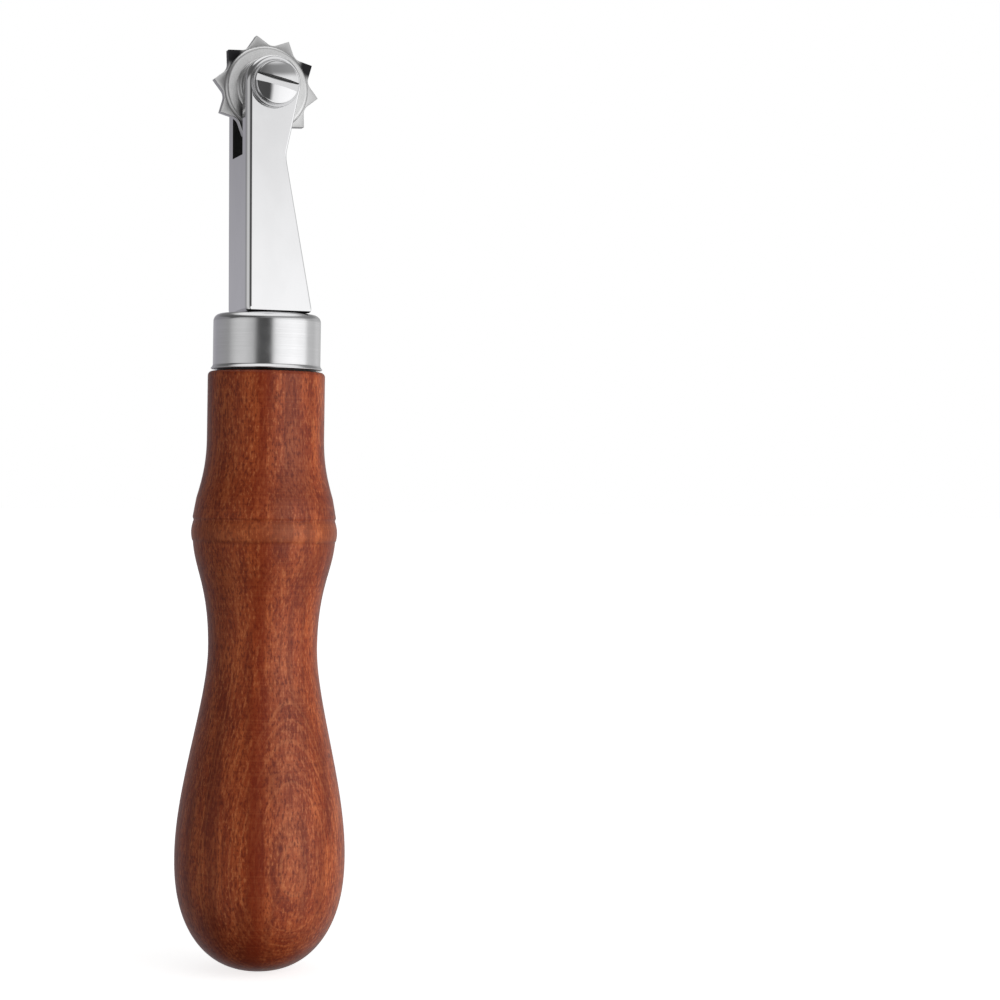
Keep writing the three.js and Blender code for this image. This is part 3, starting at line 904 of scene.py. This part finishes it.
def bright_nickel(name, colour, roughness, hollow_shade=None, crevice_shade=None):
    """Bright plating with faint clouding and hairlines; in hollows and crevices it is rougher, and
    its colour there is darkened as painted shade.
    """
    material, nodes, shader, place = new_material(name)
    shader.inputs["Metallic"].default_value = 1.0
    cloud = nodes.noise(nodes.stretched(place, (0.3, 0.3, 0.15)), detail=4.0)
    hair = nodes.noise(nodes.stretched(place, (9.0, 9.0, 0.3)), detail=2.0)
    dulled = tuple(0.97 * c for c in colour) + (1.0,)
    shade = nodes.mix(nodes.between(cloud, 0.35, 0.65), dulled, colour + (1.0,))
    rough = nodes.maths("ADD", roughness, nodes.between(cloud, 0.35, 0.7, 0.0, 0.02))
    # Painted shade: each region's colour is darkened to its level, and it is made rougher.
    for region, level in ((hollow_shade, HOLLOW_SHADE_LEVEL), (crevice_shade, CREVICE_SHADE_LEVEL)):
        if region:
            share = region(nodes, place)
            shade = nodes.mix(share, shade, grey(level))
            rough = nodes.maths("ADD", rough, nodes.maths("MULTIPLY", share, 0.4))
    nodes.feed(shader.inputs["Base Color"], shade)
    nodes.feed(shader.inputs["Roughness"], rough)
    bumped(nodes, shader, hair, 0.0003)
    return material


def wheel_steel():
    """Fine matt steel, darker on the blade than on the disc, with two teeth made nearly black round
    their tips.
    """
    material, nodes, shader, place = new_material("wheel_steel")
    shader.inputs["Metallic"].default_value = 1.0
    grain = nodes.noise(nodes.stretched(place, (7.0,) * 3), detail=4.0, roughness=0.7)
    cloud = nodes.noise(nodes.stretched(place, (0.6,) * 3), detail=3.0)
    shade = nodes.mix(nodes.between(grain, 0.3, 0.7), grey(0.74), grey(0.92))
    shade = nodes.mix(nodes.between(cloud, 0.35, 0.65, 0.0, 0.3), shade, grey(0.66))
    y = nodes.add("ShaderNodeSeparateXYZ", {"Vector": place}).outputs["Y"]
    skin = 0.04  # deep enough to take in the blade's own faces
    half_blade = BLADE_THICKNESS / 2
    on_blade = nodes.maths("LESS_THAN", nodes.maths("ABSOLUTE", y), half_blade + skin)
    shade = nodes.mix(nodes.maths("MULTIPLY", on_blade, 0.45), shade, grey(0.5))
    # Two teeth are darkened to near black round their tips.
    for angle, spread in DARK_TEETH:
        tip = round_pivot(TIP_RADIUS - 0.5, 0, radians(angle))
        away = nodes.add("ShaderNodeVectorMath", operation="DISTANCE")
        nodes.feed(away.inputs[0], place)
        away.inputs[1].default_value = tip
        darkening = nodes.between(away.outputs["Value"], spread * 0.55, spread, 0.97, 0.0)
        shade = nodes.mix(nodes.maths("MULTIPLY", darkening, on_blade), shade, (0.01, 0.01, 0.012, 1))
    nodes.feed(shader.inputs["Base Color"], shade)
    nodes.feed(shader.inputs["Roughness"], nodes.between(grain, 0.3, 0.7, 0.3, 0.42))
    bumped(nodes, shader, grain, 0.005)
    return material


def pale_floor():
    material = bpy.data.materials.new("pale_floor")
    material.use_nodes = True
    shader = material.node_tree.nodes["Principled BSDF"]
    shader.inputs["Base Color"].default_value = grey(0.8)
    shader.inputs["Roughness"].default_value = 0.9
    shader.inputs["Specular IOR Level"].default_value = 0.1
    shader.inputs["Emission Color"].default_value = grey(1.0)
    shader.inputs["Emission Strength"].default_value = 0.8
    return material


# ---- pieces and what they ride on --------------------------------------------------------------


def place_piece(made, material, body, node):
    """Gives a piece its material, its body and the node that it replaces."""
    made.data.materials.clear()
    made.data.materials.append(material)
    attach(made, body)
    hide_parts(node)


PLAIN_STEEL = turned_steel("plain_steel", (0.62, 0.62, 0.63), 0.32)

place_piece(handle(), stained_wood(), "tool_body", "handle")
place_piece(
    ferrule(),
    turned_steel("ferrule_steel", (0.84, 0.84, 0.85), 0.17, rings_depth=0.0002),
    "tool_body",
    "ferrule",
)
place_piece(tang_stud(), PLAIN_STEEL, "tool_body", "tang_stud")
place_piece(
    fork(),
    bright_nickel("fork_nickel", (0.88, 0.88, 0.89), 0.06, hollow_shade=fork_slot_shade, crevice_shade=fork_foot_shade),
    "tool_body",
    "fork",
)
place_piece(wheel(), wheel_steel(), "wheel", "wheel")
place_piece(
    axle_sleeve(),
    turned_steel("sleeve_steel", (0.62, 0.62, 0.63), 0.3, spin_axis="Y"),
    "tool_body",
    "axle_sleeve",
)
place_piece(
    lock_washer(),
    turned_steel("washer_steel", (0.66, 0.66, 0.67), 0.25, spin_axis="Y", anisotropy=0.2),
    "screw_carrier",
    "lock_washer",
)
place_piece(
    pivot_screw(),
    bright_nickel("screw_nickel", (0.83, 0.83, 0.84), 0.08, crevice_shade=screw_slot_shade),
    "pivot_screw",
    "pivot_screw",
)

# ---- floor, light and camera -------------------------------------------------------------------

# Lengths in metres, angles in radians and the lens in millimetres.
CAMERA_AZIMUTH = radians(-14.257)
CAMERA_DISTANCE = 0.37126
CAMERA_HEIGHT = 0.02476
CAMERA_PAN = 0.096
CAMERA_TILT = -0.005
CAMERA_ROLL = 0.0147
CAMERA_LENS = 87.94
FLOOR_HALF = 6.0
KEY_AZIMUTH = radians(49)  # from the camera's side, to its right
KEY_ELEVATION = radians(8)
KEY_LEVEL = 2.8
KEY_FOCUS = 6.0  # exponent, and a higher one makes a smaller lamp
FILL_LEVEL = 0.17
ZENITH_LEVEL = 1.2
ZENITH_EDGE = 0.7  # sine of the elevation where the overhead lamp starts
ZENITH_FULL = 0.85
TINT_END = -100  # degrees, and mirrored light further round to the left is tinted


def make_floor():
    low = CAD_BOX[0].z
    square = ((-1, -1), (1, -1), (1, 1), (-1, 1))
    corners = [Vector((x * FLOOR_HALF, y * FLOOR_HALF, low)) for x, y in square]
    mesh = bpy.data.meshes.new("studio_floor")
    mesh.from_pydata(corners, [], [(0, 1, 2, 3)])
    mesh.materials.append(pale_floor())
    made = bpy.data.objects.new("studio_floor", mesh)
    bpy.context.scene.collection.objects.link(made)
    made.visible_diffuse = False
    made.visible_glossy = False


def around_ramp(nodes, share, levels, tint=(1.0, 1.0, 1.0)):
    """Levels by angle in degrees from the camera's side, + to its right, halved for the ramp."""
    stops = []
    for angle, level in levels:
        hue = tint if angle < TINT_END else (1.0, 1.0, 1.0)
        stops.append((angle / 360 + 0.5, tuple(level * c / 2 for c in hue) + (1.0,)))
    return nodes.ramp(share, stops)


def mirrored_light(nodes, share, height):
    """What polished metal sees: a wide low panel on the right, a narrow one on the left, a dark
    gap where the camera is, a lamp overhead, and little between or below."""
    horizon = [
        (-180, 0.48),
        (-163, 0.44),
        (-138, 0.34),
        (-90, 0.32),
        (-78, 0.52),
        (-66, 0.64),
        (-48, 0.66),
        (-28, 0.50),
        (-20, 0.08),
        (8, 0.07),
        (17, 0.95),
        (34, 1.10),
        (60, 1.20),
        (88, 1.06),
        (98, 0.58),
        (118, 0.54),
        (134, 0.66),
        (180, 0.48),
    ]
    upper = [
        (-180, 0.3),
        (-100, 0.12),
        (-20, 0.12),
        (15, 0.35),
        (70, 0.45),
        (110, 0.3),
        (180, 0.3),
    ]
    # How high a panel reaches, as the sine of its top's elevation.
    reach = [
        (-180, 0.4),
        (-95, 0.4),
        (-85, 0.2),
        (-60, 0.36),
        (-25, 0.36),
        (-15, 0.2),
        (14, 0.42),
        (180, 0.4),
    ]
    level = around_ramp(nodes, share, horizon, tint=(0.985, 0.97, 1.045))
    overhead = around_ramp(nodes, share, upper)
    top = around_ramp(nodes, share, reach)
    above = nodes.maths("MAXIMUM", height, 0.0)
    below = nodes.maths("MAXIMUM", nodes.maths("MULTIPLY", height, -0.55), 0.0)
    off_horizon = nodes.maths("ADD", above, below)
    lift = nodes.maths("DIVIDE", off_horizon, nodes.maths("MULTIPLY", top, 2.0))
    far = nodes.mix(nodes.between(height, -0.02, 0.02), grey(0.015), overhead)
    light = nodes.mix(nodes.between(lift, 0.75, 1.25), level, far)
    overhead_lamp = nodes.between(height, ZENITH_EDGE, ZENITH_FULL)
    light = nodes.mix(overhead_lamp, light, grey(ZENITH_LEVEL / 2))
    # A strength of 2 undoes the ramp's halving, and everything above the horizon is a little dimmer.
    fall = nodes.between(height, 0.06, 0.16, 2.0, 1.56)
    return light, fall


def soft_light(nodes, towards):
    """What matt surfaces see: one wide lamp low on the right, and a little light all round."""
    angle = KEY_AZIMUTH + CAMERA_AZIMUTH - pi / 2
    lamp = (
        cos(KEY_ELEVATION) * cos(angle), cos(KEY_ELEVATION) * sin(angle), sin(KEY_ELEVATION)
    )
    facing = nodes.add("ShaderNodeVectorMath", operation="DOT_PRODUCT")
    nodes.feed(facing.inputs[0], towards)
    facing.inputs[1].default_value = lamp
    lobe = nodes.maths("POWER", nodes.maths("MAXIMUM", facing.outputs["Value"], 0.0), KEY_FOCUS)
    return nodes.maths("ADD", nodes.maths("MULTIPLY", lobe, KEY_LEVEL), FILL_LEVEL)


def make_world():
    world = bpy.data.worlds.new("studio")
    bpy.context.scene.world = world
    world.use_nodes = True
    tree = world.node_tree
    tree.nodes.clear()
    nodes = Nodes(tree)
    towards = nodes.add("ShaderNodeTexCoord").outputs["Generated"]
    turned = nodes.add("ShaderNodeMapping", {"Vector": towards})
    turned.inputs["Rotation"].default_value = (0, 0, pi / 2 - CAMERA_AZIMUTH)
    split = nodes.add("ShaderNodeSeparateXYZ", {"Vector": turned.outputs[0]})
    around = nodes.maths("ARCTAN2", split.outputs[1], split.outputs[0])
    share = nodes.maths("ADD", nodes.maths("MULTIPLY", around, 1 / (2 * pi)), 0.5)
    light, strength = mirrored_light(nodes, share, split.outputs[2])
    mirrored = nodes.add("ShaderNodeBackground", {"Color": light, "Strength": strength})
    soft = nodes.add(
        "ShaderNodeBackground", {"Color": grey(1.0), "Strength": soft_light(nodes, towards)}
    )
    seen = nodes.add("ShaderNodeBackground", {"Color": grey(1.0), "Strength": 1.0})
    rays = nodes.add("ShaderNodeLightPath")
    lit = nodes.add("ShaderNodeMixShader")
    nodes.feed(lit.inputs[0], rays.outputs["Is Diffuse Ray"])
    nodes.feed(lit.inputs[1], mirrored.outputs[0])
    nodes.feed(lit.inputs[2], soft.outputs[0])
    chosen = nodes.add("ShaderNodeMixShader")
    nodes.feed(chosen.inputs[0], rays.outputs["Is Camera Ray"])
    nodes.feed(chosen.inputs[1], lit.outputs[0])
    nodes.feed(chosen.inputs[2], seen.outputs[0])
    output = nodes.add("ShaderNodeOutputWorld")
    nodes.feed(output.inputs["Surface"], chosen.outputs[0])


def turned_together(first, second, angle):
    """Two directions at right angles, both turned from the first towards the second."""
    return (
        first * cos(angle) + second * sin(angle),
        second * cos(angle) - first * sin(angle),
    )


def make_camera():
    """A long lens just above the height of the handle's bead, with the tool left of the middle."""
    side, ahead = sin(CAMERA_AZIMUTH), cos(CAMERA_AZIMUTH)
    up = Vector((0, 0, 1))
    forward, right = Vector((-side, ahead, 0)), Vector((ahead, side, 0))
    forward, right = turned_together(forward, right, CAMERA_PAN)
    forward, up = turned_together(forward, up, CAMERA_TILT)
    right, up = turned_together(right, up, CAMERA_ROLL)
    camera = bpy.data.objects.new("camera", bpy.data.cameras.new("camera"))
    bpy.context.scene.collection.objects.link(camera)
    camera.matrix_world = Matrix.Translation(
        Vector((side * CAMERA_DISTANCE, -ahead * CAMERA_DISTANCE, CAMERA_HEIGHT))
    ) @ Matrix((right, up, -forward)).transposed().to_4x4()
    camera.data.lens = CAMERA_LENS
    camera.data.clip_end = 4 * FLOOR_HALF
    bpy.context.scene.camera = camera


make_floor()
make_world()
make_camera()
bpy.context.scene.view_settings.view_transform = "Standard"
